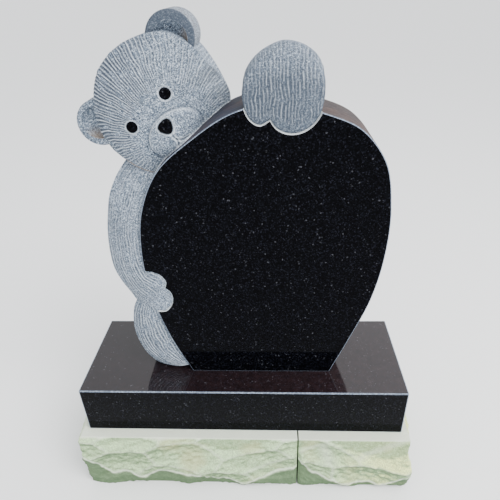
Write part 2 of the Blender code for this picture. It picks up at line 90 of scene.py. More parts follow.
PAW_GROOVE = 0.0012
SIDE_LEDGE = 0.018
FRONT_LEDGE = 0.027

# How far each form of the back stays inside the slab's back plane, in metres
BACK_INSET = 0.006
EAR_BACK_INSET = 0.0084
ARM_BACK_INSET = 0.0072
FOOT_BACK_INSET = 0.0092

# Strokes of the fur: each ridge between two strokes has a line of the mesh's points on it
HEAD_STROKES = 112
ARM_STROKES = 14
FOOT_STROKES = 12
UPPER_PAW_STROKES = 23
LINES_PER_STROKE = 7
STROKE_DEPTH = 0.0016
STROKE_WANDER = 0.45    # in strokes
EDGE_LINE = 0.0018      # half the width of the bruised line along the tablet's edge

# The head's rings of points, on the muzzle and from it to the rim
MUZZLE_RINGS = 32
FUR_RINGS = 72

# Split faces: the spacing of their points, how far the swell, the chips and the grit stand
# out, how large a scoop and a chip are, and what counts as the same level
ROCK_STEP = 0.0032
ROCK_BULGE = 0.026
CHIP_DEPTH = 0.0032
GRIT_DEPTH = 0.0026
SCOOP_SIZE = 0.125
CHIP_SIZE = 0.024
SAME_LEVEL = 0.00001

# Cells in the tables of random numbers, which repeat after that many
NOISE_CELLS = 64
SCAR_CELLS = 32

# The camera: its place from the middle of the base's underside, in metres, its turns in
# degrees and its lens in millimetres
CAMERA_PLACE = (0.0918, -1.0302, 1.1284)
CAMERA_PAN = 3.39
CAMERA_TILT = -30.465
CAMERA_ROLL = 2.138
CAMERA_LENS = 32.73

# The sky's colour by height, from the horizon up, and its strength from left to right
SKY_COLOURS = [(0.0, (1.15, 1.17, 1.18)), (0.14, (1.06, 1.08, 1.09)),
               (0.30, (0.76, 0.775, 0.79)), (0.6, (0.95, 0.97, 1.0))]
SKY_LEFT, SKY_RIGHT = 1.15, 2.55

slab_low, slab_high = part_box("Headstone")
SLAB_FRONT, SLAB_BACK, SLAB_BOTTOM = slab_low.y, slab_high.y, slab_low.z
SLAB_THICKNESS = SLAB_BACK - SLAB_FRONT

TABLET_OUTLINE = [
    (307, 0), (387, 165), (463, 343), (497, 515), (495, 687), (452, 832), (360, 921),
    (221, 970), (65, 1000), (-91, 976), (-249, 902), (-390, 807), (-472, 676),
    (-500, 528), (-478, 317), (-414, 131), (-346, 0),
]
HEAD_OUTLINE = [
    (-601, 995), (-579, 1066), (-518, 1125), (-417, 1168), (-308, 1177), (-216, 1134),
    (-178, 1093), (-144, 1044), (-117, 988), (-132, 925), (-174, 845), (-257, 793),
    (-357, 774), (-447, 792), (-519, 832), (-570, 876), (-599, 933),
]
HEAD_MIDDLE = (-365, 980)
RIGHT_EYE = (-329, 1025)
LEFT_EYE = (-465, 933)
NOSE = (-336, 937)
MUZZLE_MIDDLE = (-314, 911)
TOP_EAR = (-298, 1164)
SIDE_EAR = (-596, 940)
FACE_LEAN = math.radians(40.5)
MOUTH = [[(-318, 918), (-303, 899), (-282, 895), (-262, 900)],
         [(-303, 899), (-298, 886), (-300, 874)]]
# The arm and its paw: outer edge from the jaw to the finger tips, and inner edge
ARM_OUTER = [
    (-500, 850), (-537, 813), (-574, 774), (-603, 728), (-625, 665), (-645, 585),
    (-652, 510), (-646, 440), (-622, 385), (-588, 335),
]
ARM_INNER = [
    (-350, 800), (-392, 790), (-430, 740), (-456, 695), (-476, 640), (-488, 570),
    (-490, 505), (-482, 470), (-476, 458),
]
LOWER_PAW_OUTER = [(-588, 335), (-571, 316), (-519, 303), (-475, 289), (-440, 289)]
LOWER_PAW_INNER = [
    [(-476, 458), (-455, 452), (-432, 437), (-416, 413), (-424, 388)],
    [(-424, 388), (-405, 374), (-396, 347), (-407, 314), (-440, 289)],
]
LOWER_PAW = [
    [(-560, 400), (-510, 455), (-472, 454), (-432, 437), (-416, 413), (-424, 388)],
    [(-424, 388), (-405, 374), (-396, 347), (-407, 314), (-434, 290), (-475, 289)],
    [(-475, 289), (-519, 303), (-571, 316), (-600, 350), (-560, 400)],
]
FOOT_OUTER = [
    (-545, 330), (-590, 287), (-607, 235), (-611, 164), (-593, 106), (-555, 54),
    (-505, 20), (-450, 8), (-400, 12), (-372, 24),
]
FOOT_INNER = [
    (-455, 330), (-452, 280), (-438, 230), (-425, 185), (-411, 145), (-397, 110),
    (-384, 80), (-375, 58), (-367, 40), (-361, 30),
]
UPPER_PAW_LOWER = [
    [(-60, 1010), (-49, 975), (-34, 954), (0, 938), (37, 952)],
    [(37, 952), (60, 928), (96, 914), (130, 913), (179, 930), (210, 960), (225, 1005)],
]
UPPER_PAW_UPPER = [
    (-60, 1034), (-54, 1061), (-38, 1084), (-16, 1104), (12, 1121), (39, 1132), (82, 1143),
    (126, 1140), (180, 1121), (205, 1104), (219, 1087), (226, 1061),
]
# The ridge over each block's undercut: shares of its width from the left, and of its height
LEFT_RIDGE = [(0, .62), (.12, .30), (.26, .22), (.40, .36), (.52, .33), (.64, .18), (.73, .06),
              (.84, .27), (1, .42)]
RIGHT_RIDGE = [(0, .60), (.15, .34), (.34, .16), (.50, .10), (.62, .14), (.78, .10), (1, .24)]


def place(across, up):
    """Turn thousandths of the tablet into x and z."""
    return (TABLET_OFFSET + across / 1000 * TABLET_WIDTH,
            SLAB_BOTTOM + up / 1000 * TABLET_HEIGHT)


def smooth_run(anchors, count, closed=False):
    """Evenly spaced points on a smooth curve through anchors, as an array of x and z."""
    knots = np.array([place(*anchor) for anchor in anchors])
    if closed:
        knots = np.vstack([knots[-2:], knots, knots[:3]])
    steps = np.linalg.norm(np.diff(knots, axis=0), axis=1)
    at = np.concatenate([[0], np.cumsum(steps)])
    slopes = np.gradient(knots, at, axis=0)
    first, last = (2, len(knots) - 3) if closed else (0, len(knots) - 1)
    fine = []
    for i in range(first, last):
        span = at[i + 1] - at[i]
        for t in np.linspace(0, 1, 48, endpoint=False):
            fine.append((2 * t**3 - 3 * t**2 + 1) * knots[i]
                        + (t**3 - 2 * t**2 + t) * span * slopes[i]
                        + (3 * t**2 - 2 * t**3) * knots[i + 1]
                        + (t**3 - t**2) * span * slopes[i + 1])
    fine = np.array(fine + [knots[last]])
    run = np.concatenate([[0], np.cumsum(np.linalg.norm(np.diff(fine, axis=0), axis=1))])
    stops = np.linspace(0, run[-1], count, endpoint=not closed)
    return np.stack([np.interp(stops, run, fine[:, k]) for k in (0, 1)], axis=1)


def joined_runs(runs, counts):
    """Points along smooth curves that meet at corners; each corner is counted once."""
    parts = [smooth_run(anchors, count)[:-1] for anchors, count in zip(runs, counts)]
    return np.vstack(parts)


def value_along(anchors, position):
    """Smooth values between (position, value) anchors, for an array of positions."""
    position = np.asarray(position, float)
    result = np.full(position.shape, float(anchors[0][1]))
    for (a, low), (b, high) in zip(anchors, anchors[1:]):
        t = np.clip((position - a) / (b - a), 0, 1)
        result = np.where(position > a, low + (high - low) * t * t * (3 - 2 * t), result)
    return result


def ramp(value, low, high):
    """0 below low, 1 above high, and a smooth rise between them."""
    t = np.clip((value - low) / (high - low), 0, 1)
    return t * t * (3 - 2 * t)


def smooth_noise(u, v, seed, period=NOISE_CELLS):
    """Value noise between -1 and 1, one cell to a unit, that repeats after period in v."""
    table = np.random.default_rng(seed).random((NOISE_CELLS, NOISE_CELLS))
    iu, iv = np.floor(u).astype(int), np.floor(v).astype(int)
    fu, fv = u - iu, v - iv
    fu, fv = fu * fu * (3 - 2 * fu), fv * fv * (3 - 2 * fv)
    corner = [table[(iu + a) % NOISE_CELLS, (iv + b) % period] for a in (0, 1) for b in (0, 1)]
    low = corner[0] * (1 - fv) + corner[1] * fv
    high = corner[2] * (1 - fv) + corner[3] * fv
    return 2 * (low * (1 - fu) + high * fu) - 1


def rough_noise(u, v, seed):
    """Three octaves of noise, each half as large and half as strong as the one before."""
    total = np.zeros(np.broadcast(u, v).shape)
    for k in range(3):
        total = total + smooth_noise(u * 2**k, v * 2**k, seed + k) / 2**k
    return total / 1.6


def wander(lane, along, seed, bends, period=NOISE_CELLS):
    """How far a ridge strays sideways on its way, in strokes; bends counts its turns.

    The straying repeats after as many lanes as the head has strokes, so its loop closes.
    """
    scale = period / HEAD_STROKES
    broad = smooth_noise(along * bends + 0 * lane, lane * scale + 0 * along, seed, period)
    small = smooth_noise(along * bends * 3 + 0 * lane, lane * scale + 0 * along, seed + 1, period)
    return STROKE_WANDER * (broad + 0.35 * small)


def strokes(lane, along, seed, runs, late=0.0):
    """Carved strokes between thin ridges, which stand where lane is a whole number.

    along runs from 0 to 1, and holds runs strokes end to end. Every second ridge starts
    late, by that share of along. Returns 1 in the middle of a groove, and 1 on a ridge.
    """
    index = np.round(lane).astype(int)
    away = np.abs(lane - index)
    own = np.random.default_rng(seed).random((NOISE_CELLS, NOISE_CELLS, 2))
    moved = along * runs + own[index % NOISE_CELLS, 0, 0]
    piece = np.floor(moved).astype(int)
    part = moved - piece
    power = 0.35 + 0.65 * own[index % NOISE_CELLS, piece % NOISE_CELLS, 1]
    begin = late * ((index % 2) + 0.45 * (index % 4 == 2))
    mask = ramp(part, 0, 0.10) * (1 - ramp(part, 0.80, 0.97)) * ramp(along, begin, begin + 0.08)
    flicker = 0.75 + 0.25 * smooth_noise(along * runs * 14, index * 7.3, seed + 3)
    groove = 1 - (1 - 2 * away)**3
    ridge = np.clip(1 - away * 4.6, 0, 1) * flicker
    return groove * mask * (0.6 + 0.4 * power), ridge * mask * power


def material_nodes(name):
    """A new material, its node tree and its shader."""
    material = bpy.data.materials.new(name)
    material.use_nodes = True
    tree = material.node_tree
    return material, tree, tree.nodes["Principled BSDF"]


def add_node(tree, kind, inputs=None, **settings):
    """A new node with its settings; each input takes a value or another node's output."""
    node = tree.nodes.new(kind)
    for key, value in settings.items():
        setattr(node, key, value)
    for key, value in (inputs or {}).items():
        if isinstance(value, bpy.types.NodeSocket):
            tree.links.new(value, node.inputs[key])
        else:
            node.inputs[key].default_value = value
    return node


def colour_ramp(tree, source, stops):
    """A colour between stops, each a position and its colour."""
    node = add_node(tree, "ShaderNodeValToRGB", {"Fac": source})
    ramp_stops = node.color_ramp.elements
    while len(ramp_stops) < len(stops):
        ramp_stops.new(0.5)
    for stop, (position, colour) in zip(ramp_stops, stops):
        stop.position = position
        stop.color = (*colour, 1)
    return node.outputs["Color"]


def grey_ramp(tree, source, low, high):
    """A grey between two stops, each a position and its value."""
    return colour_ramp(tree, source, [(at, (value,) * 3) for at, value in (low, high)])


def mix_colour(tree, share, first, second, blend="MIX"):
    """The first colour with a share of the second; each may be a value or a socket."""
    first, second = ((*colour, 1) if isinstance(colour, tuple) else colour
                     for colour in (first, second))
    node = add_node(tree, "ShaderNodeMix", {0: share, 6: first, 7: second},
                    data_type="RGBA", blend_type=blend)
    return node.outputs[2]


def shade(tree, colour, source, low, high):
    """A colour times a grey that runs between two stops of a source."""
    return mix_colour(tree, 1.0, colour, grey_ramp(tree, source, low, high), "MULTIPLY")


def own_place(tree):
    """Each point's place in the object's own space."""
    return add_node(tree, "ShaderNodeTexCoord").outputs["Object"]


def grain(tree, scale, detail=2.0, roughness=0.5):
    """Noise in the object's own space, scale in features to the metre."""
    noise = add_node(tree, "ShaderNodeTexNoise", {"Vector": own_place(tree), "Scale": scale,
                                                  "Detail": detail, "Roughness": roughness})
    return noise.outputs["Fac"]


def crystals(tree, scale):
    """A grey of its own for each crystal, scale to the metre."""
    cells = add_node(tree, "ShaderNodeTexVoronoi", {"Vector": own_place(tree), "Scale": scale})
    parts = add_node(tree, "ShaderNodeSeparateColor", {"Color": cells.outputs["Color"]})
    return parts.outputs["Red"]


def tool_lines(tree, scales, turn=0.0):
    """Noise drawn out into lines: scales are in features to the metre along x, y and z."""
    drawn_out = add_node(tree, "ShaderNodeMapping", {"Vector": own_place(tree),
                                                     "Rotation": (0, 0, turn), "Scale": scales})
    noise = add_node(tree, "ShaderNodeTexNoise", {"Vector": drawn_out.outputs["Vector"],
                                                  "Scale": 1.0, "Detail": 2.0})
    return noise.outputs["Fac"]


def place_share(tree, axis, low, high, normal=False):
    """0 where a coordinate of the place, or of the normal, is low, and 1 where it is high."""
    source = own_place(tree)
    if normal:
        source = add_node(tree, "ShaderNodeNewGeometry").outputs["Normal"]
    parts = add_node(tree, "ShaderNodeSeparateXYZ", {"Vector": source})
    share = add_node(tree, "ShaderNodeMapRange", {"Value": parts.outputs[axis],
                                                  "From Min": low, "From Max": high})
    return share.outputs["Result"]


def add_bump(tree, shader, height, strength, distance):
    """Small relief on a shader; distance is its height in metres."""
    bump = add_node(tree, "ShaderNodeBump",
                    {"Height": height, "Strength": strength, "Distance": distance})
    tree.links.new(bump.outputs["Normal"], shader.inputs["Normal"])


def toned(tree, stone, **colours):
    """A stone's colour, changed where the mesh holds each tone point by point."""
    for name, colour in colours.items():
        tone = add_node(tree, "ShaderNodeAttribute", attribute_name=name).outputs["Fac"]
        stone = mix_colour(tree, tone, stone, colour)
    return stone


def finish_stone(tree, shader, colour, roughness, specular):
    """Give a shader its colour and its gloss."""
    tree.links.new(colour, shader.inputs["Base Color"])
    shader.inputs["Roughness"].default_value = roughness
    shader.inputs["Specular IOR Level"].default_value = specular


def carved_granite():
    """Blue-grey granite crushed pale by the chisel on its ridges, with painted highlights, shade
    painted dark in its grooves and hollows, a darker finish on the ears, and some soil.
    """
    material, tree, shader = material_nodes("Carved_granite_look")
    stone = colour_ramp(tree, crystals(tree, 600),
                        [(0.0, (0.020, 0.027, 0.042)), (0.30, (0.086, 0.113, 0.152)),
                         (0.72, (0.190, 0.236, 0.298)), (1.0, (0.54, 0.61, 0.69))])
    stone = shade(tree, stone, grain(tree, 340, 3, 0.8), (0.32, 0.50), (0.68, 1.48))
    stone = shade(tree, stone, grain(tree, 9, 3), (0.3, 0.88), (0.7, 1.10))
    # The pale tone is crushed stone on the ridges plus painted highlights; the dark tone is painted
    # shade in grooves and hollows, plus the ears' darker finish.
    stone = toned(tree, stone, Groove=(0.030, 0.040, 0.058), Ridge=(0.64, 0.70, 0.76),
                  Soil=(0.24, 0.185, 0.135))
    finish_stone(tree, shader, stone, 0.8, 0.3)
    add_bump(tree, shader, grain(tree, 520, 3, 0.7), 0.55, 0.0012)
    return material


def bruised_granite():
    """The pale cut walls beside the polish, where the tool has crushed the grains."""
    material, tree, shader = material_nodes("Cut_wall_granite_look")
    colour = colour_ramp(tree, grain(tree, 500, 2),
                         [(0.35, (0.48, 0.51, 0.53)), (0.65, (0.80, 0.83, 0.83))])
    finish_stone(tree, shader, colour, 0.8, 0.5)
    add_bump(tree, shader, grain(tree, 600, 2), 0.4, 0.0008)
    return material


def speckled_black(tree):
    """Jet black with fine blue crystals, and here and there a pale one."""
    body = colour_ramp(tree, crystals(tree, 420),
                       [(0.0, (0.0004, 0.0004, 0.0006)), (0.72, (0.0012, 0.0013, 0.0020)),
                        (0.92, (0.0045, 0.0050, 0.0078)), (1.0, (0.011, 0.012, 0.018))])
    pale = grey_ramp(tree, crystals(tree, 330), (0.988, 0.0), (0.998, 1.0))
    return mix_colour(tree, pale, body, (0.045, 0.047, 0.055))


def polished_granite():
    """The tablet's front, the eyes and the nose."""
    material, tree, shader = material_nodes("Polished_granite_look")
    finish_stone(tree, shader, speckled_black(tree), 0.05, 0.022)
    return material


def base_side_granite():
    """The base's upright sides, polished as the tablet is."""
    material, tree, shader = material_nodes("Base_side_granite_look")
    finish_stone(tree, shader, speckled_black(tree), 0.06, 0.045)
    return material


def base_top_granite():
    """The base's top: a full polish that mirrors the tablet, under a reddish film, partly dusty and
    partly a painted sheen of the sky that grows towards the right.
    """
    material, tree, shader = material_nodes("Base_top_granite_look")
    dust_and_sky_sheen = grey_ramp(tree, grain(tree, 60, 5, 0.7), (0.35, 0.06), (0.70, 0.15))
    # Painted sheen: the film is stronger towards the right, where the sky is brighter.
    side = mix_colour(tree, place_share(tree, "X", -0.45, 0.30), (0.62,) * 3, (1.0,) * 3)
    dust_and_sky_sheen = mix_colour(tree, 1.0, dust_and_sky_sheen, side, "MULTIPLY")
    stone = mix_colour(tree, dust_and_sky_sheen, speckled_black(tree), (0.120, 0.066, 0.072))
    finish_stone(tree, shader, stone, 0.07, 0.52)
    return material


def honed_granite():
    """The slab's back, sawn and honed but not polished."""
    material, tree, shader = material_nodes("Honed_back_granite_look")
    stone = colour_ramp(tree, crystals(tree, 420),
                        [(0.0, (0.010, 0.010, 0.012)), (0.8, (0.020, 0.021, 0.026)),
                         (1.0, (0.045, 0.047, 0.056))])
    finish_stone(tree, shader, stone, 0.42, 0.25)
    return material


def ground_granite():
    """The slab's edge, ground and left matt: dark by the bear, dusty and stained beyond it."""
    material, tree, shader = material_nodes("Ground_edge_granite_look")
    dark = colour_ramp(tree, tool_lines(tree, (14, 420, 14)),
                       [(0.35, (0.014, 0.016, 0.024)), (0.65, (0.062, 0.068, 0.092))])
    warm = colour_ramp(tree, tool_lines(tree, (30, 260, 30), 0.20),
                       [(0.34, (0.026, 0.021, 0.022)), (0.50, (0.042, 0.034, 0.035)),
                        (0.68, (0.074, 0.058, 0.056))])
    warm = shade(tree, warm, crystals(tree, 500), (0.0, 0.60), (1.0, 1.60))
    stone = mix_colour(tree, place_share(tree, "X", 0.02, 0.20), dark, warm)
    rust = grey_ramp(tree, grain(tree, 9, 6, 0.7), (0.46, 0.0), (0.68, 0.45))
    stone = mix_colour(tree, rust, stone, (0.130, 0.070, 0.052))
    finish_stone(tree, shader, stone, 0.7, 0.12)
    add_bump(tree, shader, tool_lines(tree, (14, 420, 14)), 0.4, 0.0010)
    return material


def arris_granite():
    """The narrow eased edge between polished faces, honed, with the light it catches painted into
    its pale colour.
    """
    material, tree, shader = material_nodes("Eased_edge_granite_look")
    colour = colour_ramp(tree, grain(tree, 300, 2),
                         [(0.4, (0.09, 0.115, 0.16)), (0.7, (0.26, 0.31, 0.39))])
    finish_stone(tree, shader, colour, 0.3, 0.4)
    return material


def sandstone():
    """Pale stone with a green cast: cream painted where it faces up to the light, painted shade
    under its crests, and a paler top that is partly sawn stone and partly painted light.
    """
    material, tree, shader = material_nodes("Split_sandstone_look")
    stone = colour_ramp(tree, grain(tree, 70, 6, 0.7),
                        [(0.30, (0.16, 0.25, 0.12)), (0.48, (0.30, 0.43, 0.23)),
                         (0.68, (0.46, 0.60, 0.36))])
    cream = mix_colour(tree, place_share(tree, "X", 0.25, 0.40), (0.60, 0.80, 0.46),
                       (0.86, 0.94, 0.42))
    # Painted light: faces that turn up are painted cream.
    painted_top_light = grey_ramp(tree, place_share(tree, "Z", -0.10, 0.45, normal=True), (0.0, 0.0), (1.0, 0.95))
    stone = mix_colour(tree, painted_top_light, stone, cream)
    stone = shade(tree, stone, grain(tree, 300, 4, 0.8), (0.34, 0.52), (0.66, 1.42))
    stain = grey_ramp(tree, grain(tree, 9, 3), (0.55, 0.0), (0.72, 0.45))
    stone = mix_colour(tree, stain, stone, (0.60, 0.54, 0.26))
    # The dark green tone is painted shade, the pale tone paints highlights and the light on the
    # top, and the soil tone darkens the sawn joint.
    stone = toned(tree, stone, Groove=(0.100, 0.165, 0.085), Ridge=(0.92, 0.97, 0.82),
                  Soil=(0.015, 0.014, 0.012))
    finish_stone(tree, shader, stone, 0.9, 0.2)
    add_bump(tree, shader, grain(tree, 190, 6, 0.8), 1.0, 0.006)
    return material


def add_object(name, data):
    """A new object in the scene."""
    thing = bpy.data.objects.new(name, data)
    bpy.context.scene.collection.objects.link(thing)
    return thing


def grid_mesh(name, points, material, tones=None):
    """A closed piece from rows of points: each row is a loop, and the ends are capped.

    tones gives the first columns' points their shares of Ridge, Groove and Soil.
    """
    rows, columns = points.shape[:2]
    verts = points.reshape(-1, 3)
    ends = np.array([points[0].mean(axis=0), points[-1].mean(axis=0)])
    first, last = rows * columns, rows * columns + 1
    row = np.arange(rows - 1)[:, None] * columns
    left = np.arange(columns)[None, :]
    right = (left + 1) % columns
    quads = np.stack([row + left, row + right, row + columns + right, row + columns + left],
                     axis=-1).reshape(-1, 4)
    left, right = left.ravel(), right.ravel()
    low_cap = np.stack([right, left, np.full(left.shape, first)], axis=-1)
    top = (rows - 1) * columns
    high_cap = np.stack([top + left, top + right, np.full(left.shape, last)], axis=-1)
    mesh = bpy.data.meshes.new(name)
    mesh.from_pydata(np.vstack([verts, ends]).tolist(), [],
                     quads.tolist() + low_cap.tolist() + high_cap.tolist())
    for key in ("Ridge", "Groove", "Soil"):
        values = np.zeros(len(verts) + 2)
        if key in (tones or {}):
            given = np.clip(tones[key], 0, 1)
            values[:-2].reshape(rows, columns)[:, :given.shape[1]] = given
        data = mesh.attributes.new(key, "FLOAT", "POINT")
        data.data.foreach_set("value", values.astype(np.float32))
    shape = bmesh.new()
    shape.from_mesh(mesh)
    bmesh.ops.recalc_face_normals(shape, faces=shape.faces)
    shape.to_mesh(mesh)
    shape.free()
    mesh.materials.append(material)
    mesh.shade_smooth()
    mesh.set_sharp_from_angle(angle=math.radians(50))
    return add_object(name, mesh)


def settle(piece, slot, *nodes):
    """Fix a piece to the object's one body, in place of the nodes."""
    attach(piece, "root")
    if nodes:
        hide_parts(*nodes)
    return piece


def carve(name, points, material, tones):
    """A piece of the headstone that is carved and left matt."""
    return settle(grid_mesh(name, points, material, tones), "carved_granite", "Headstone")


def normals_of(points, closed):
    """Unit normals of a grid of points, pointing towards the front."""
    if closed:
        across = np.roll(points, -1, axis=1) - np.roll(points, 1, axis=1)
    else:
        across = np.gradient(points, axis=1)
    down = np.gradient(points, axis=0)
    normal = np.cross(across, down)
    normal /= np.maximum(np.linalg.norm(normal, axis=2, keepdims=True), 1e-9)
    return normal * np.where(normal[:, :, 1:2] > 0, -1, 1)


def along_loop(loop, at):
    """Points of a closed loop at fractional places, counted in the loop's own points."""
    stops = np.arange(len(loop) + 1)
    wrapped = np.vstack([loop, loop[:1]])
    at = at % len(loop)
    return np.stack([np.interp(at, stops, wrapped[:, k]) for k in (0, 1)], axis=-1)


def head_front(x, z):
    """Where the head's dome lies, front to back, without its muzzle."""
    mx, mz = place(*HEAD_MIDDLE)
    angle = np.degrees(np.arctan2(z - mz, x - mx)) % 360
    rim = value_along([(0, .12), (18, .18), (46, .68), (60, .74), (90, .70), (235, .70),
                       (290, .60), (335, .20), (360, .12)], angle) * SLAB_THICKNESS
    away = (1 + np.cos(np.radians(angle + 15))) / 2
    steepness = 0.5 + 0.9 * away**2
    lengthening = HEAD_LENGTHENING * np.cos(2 * np.radians(angle - 75))
    share = np.minimum(1.0, np.hypot(x - mx, z - mz) / (HEAD_RADIUS + lengthening))
    crown = SLAB_THICKNESS - HEAD_CROWN_SETBACK
    return SLAB_BACK - rim - (crown - rim) * (1 - share**2.2)**steepness


def face_axes(x, z, spot):
    """Distances from a spot on the face: along the eyes' line, and up the leaning face."""
    mx, mz = place(*spot)
    along = (x - mx) * math.cos(FACE_LEAN) + (z - mz) * math.sin(FACE_LEAN)
    upward = (z - mz) * math.cos(FACE_LEAN) - (x - mx) * math.sin(FACE_LEAN)
    return along, upward


def muzzle_share(x, z):
    """0 in the muzzle's middle, and 1 on its edge."""
    along, upward = face_axes(x, z, MUZZLE_MIDDLE)
    return np.hypot(along / (MUZZLE_WIDTH / 2), upward / (MUZZLE_HEIGHT / 2))


def distance_to_run(x, z, anchors, count=60):
    """How far each place is from a smooth curve through anchors."""
    nearest = np.full(x.shape, 9.0)
    for px, pz in smooth_run(anchors, count):
        nearest = np.minimum(nearest, (x - px)**2 + (z - pz)**2)
    return np.sqrt(nearest)


def face_front(x, z):
    """The head's front with the muzzle's pillow on it."""
    share = np.minimum(1.0, muzzle_share(x, z))
    return head_front(x, z) - MUZZLE_PROUD * np.sqrt(1 - share**2.5)


def nose_shape(turn):
    """A circle's radius drawn out into three soft corners, one of them down."""
    return 1 + 0.10 * np.cos(3 * (turn + math.pi / 2))


def cut_face(x, z, sink, dark, pale):
    """Cut the muzzle's crease, the mouth and the sockets, and give each its tones: painted shade in
    the crease and the mouth, and a painted highlight along the muzzle's upper edge.
    """
    edge = muzzle_share(x, z)
    crease = np.exp(-((edge - 1.02) / 0.030)**2)
    sink = sink + 0.0016 * crease
    # Painted shade in the muzzle's crease.
    dark = dark + 0.35 * crease
    # Painted highlight along the muzzle's upper edge.
    above = ramp(face_axes(x, z, MUZZLE_MIDDLE)[1], -0.01, 0.02)
    pale = pale + 0.40 * np.exp(-((edge - 0.95) / 0.035)**2) * above
    for anchors in MOUTH:
        away = distance_to_run(x, z, anchors)
        line = np.exp(-(away / 0.0017)**2)
        sink = sink + 0.0024 * line
        # Painted shade in the mouth's groove.
        dark = dark + 0.75 * line
        pale = pale + 0.50 * np.exp(-((away - 0.0036) / 0.0013)**2)
    for spot, radius in ((RIGHT_EYE, EYE_SOCKET_RADIUS), (LEFT_EYE, EYE_SOCKET_RADIUS),
                         (NOSE, NOSE_WIDTH / 2 + 0.0035)):
        along, upward = face_axes(x, z, spot)
        reach = np.hypot(along, upward)
        if spot is NOSE:
            reach = reach / nose_shape(np.arctan2(upward, along))
        dish = 1 - ramp(reach, radius - 0.0035, radius)
        sink = sink + 0.0030 * dish - 0.0008 * np.exp(-((reach - radius - 0.001) / 0.0012)**2)
        pale = pale + 0.60 * np.exp(-((reach - radius + 0.0005) / 0.0014)**2)
        dark = dark * (1 - dish)
    return sink, dark, pale


def head_side(rim, middle, rim_front):
    """Rings behind the front's rim: straight back, and then round to the flat back."""
    back = SLAB_BACK - BACK_INSET
    side = []
    for t in np.linspace(0, 1, 9)[1:]:
        y = rim_front * (1 - t) + (back - EDGE_ROUNDING) * t
        side.append(np.stack([rim[:, 0], y, rim[:, 1]], axis=-1))
    for turn in np.linspace(0, math.pi / 2, 5)[1:]:
        loop = rim + (middle - rim) * (EDGE_ROUNDING * (1 - math.cos(turn)) / HEAD_MEAN_RADIUS)
        y = np.full(len(rim), back - EDGE_ROUNDING + EDGE_ROUNDING * math.sin(turn))
        side.append(np.stack([loop[:, 0], y, loop[:, 1]], axis=-1))
    return np.array(side)


def make_head(material):
    """Rings that widen from the muzzle to the rim, with strokes that spread from the face."""
    columns = HEAD_STROKES * LINES_PER_STROKE
    rim = smooth_run(HEAD_OUTLINE, columns, closed=True)
    focus = np.array(place(*MUZZLE_MIDDLE))
    middle = np.array(place(*HEAD_MIDDLE))
    muzzle = focus + (rim - focus) / muzzle_share(rim[:, 0], rim[:, 1])[:, None]
    inner = np.sin(np.linspace(0.02, 1, MUZZLE_RINGS) * math.pi / 2)[:, None, None]
    outer = (1 - (1 - np.linspace(0, 1, FUR_RINGS)[1:])**1.25)[:, None]
    lane = np.arange(columns)[None, :] / LINES_PER_STROKE + 0 * outer
    stray = wander(lane, outer, 11, 5, period=40) * ramp(outer, 0, 0.25)
    at = (lane + stray) * LINES_PER_STROKE
    near_muzzle, near_rim = along_loop(muzzle, at), along_loop(rim, at)
    flat = np.concatenate([focus + inner * (muzzle - focus),
                           near_muzzle + outer[..., None] * (near_rim - near_muzzle)])
    x, z = flat[:, :, 0], flat[:, :, 1]
    share = np.concatenate([np.zeros(len(inner)), outer.ravel()])[:, None] + 0 * x
    front = np.stack([x, face_front(x, z), z], axis=-1)

    lane = lane[:1] + 0 * x
    angle = np.degrees(np.arctan2(z - middle[1], x - middle[0])) % 360
    groove, ridge = strokes(lane, share, 11, 1.6, late=0.30)
    strength = value_along([(0, .80), (40, .90), (62, .60), (80, .55), (98, .90), (140, 1),
                            (205, 1), (235, .75), (300, .40), (360, .80)], angle)
    strength = strength * ramp(share, 0.18, 0.46)
    sink = STROKE_DEPTH * groove * strength
    pale = 0.95 * ridge * strength
    # Painted shade: the grooves and the rim are painted darker, most on the head's left side, which
    # turns away from the light.
    painted_shade_by_angle = value_along([(0, .35), (60, .35), (140, 1), (215, 1), (260, .5), (360, .35)], angle)
    dark = (0.85 * groove * strength + 0.16 * ramp(share, 0.60, 0.95)) * painted_shade_by_angle
    # Painted light: the head's right side is painted paler, against the shadow that the upper paw
    # casts on it.
    painted_light_right = value_along([(0, 1), (28, 1), (48, 0), (315, 0), (340, 1), (360, 1)], angle)
    pale = pale + 0.10 * painted_light_right * ramp(share, 0.40, 0.85)
    seam = distance_to_run(x, z, TABLET_OUTLINE, 300)
    pale = pale + 0.95 * (1 - ramp(seam, 0.9 * EDGE_LINE, 1.9 * EDGE_LINE))

    sink, dark, pale = cut_face(x, z, sink, dark, pale)
    by_arm = value_along([(228, 0), (240, 1), (262, 1), (272, 0)], angle)
    soil = 0.9 * by_arm * ramp(share, .93, .99)
    front = front - normals_of(front, True) * sink[..., None]
    tones = {"Ridge": pale, "Groove": dark, "Soil": soil}
    side = head_side(rim, middle, front[-1, :, 1])
    depth = np.linspace(0, 1, len(side))[:, None]
    side_groove, side_ridge = strokes(lane[:1] + 0 * depth, depth + 0 * lane[:1], 12, 1.3)
    over = value_along([(0, 0), (8, .8), (75, .8), (90, .3), (270, .3), (280, 0)], angle[-1:])
    side_tones = {"Ridge": over * side_ridge, "Groove": 0.25 * over * side_groove,
                  "Soil": 0 * side_groove}
    tones = {key: np.vstack([value, side_tones[key]]) for key, value in tones.items()}
    return carve("Bear_head", np.concatenate([front, side]), material, tones)


